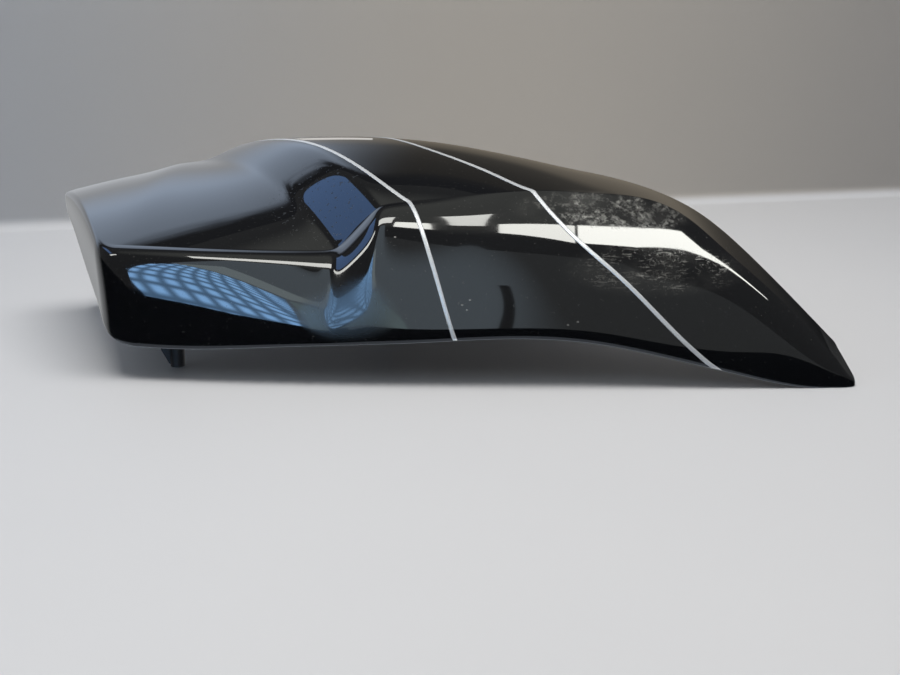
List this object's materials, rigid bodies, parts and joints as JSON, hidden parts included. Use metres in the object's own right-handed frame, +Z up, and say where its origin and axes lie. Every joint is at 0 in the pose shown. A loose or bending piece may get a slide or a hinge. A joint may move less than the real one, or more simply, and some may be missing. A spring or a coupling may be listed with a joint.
{
  "type": "side panel",
  "caption": "Glossy moulded motorbike side cover: a low shelf steps up by a ramp to a domed body that tapers to a point, with screw posts inside and thin pinstripes across it.",
  "frame": {"origin": "middle of the part's footprint, on the table that its pointed end and post ends rest on", "axes": "+X to the pointed end, +Y from the flank's lower edge to the far rim, +Z up out of the outer face"},
  "size_m": [0.483, 0.1937, 0.1245],
  "materials": {
    "gloss_black": "high gloss",
    "silver_tape": "satin silver vinyl"
  },
  "bodies": {
    "root": {"side_panel": "gloss_black", "front_pinstripe": "silver_tape", "rear_pinstripe": "silver_tape"}
  },
  "joints": []
}
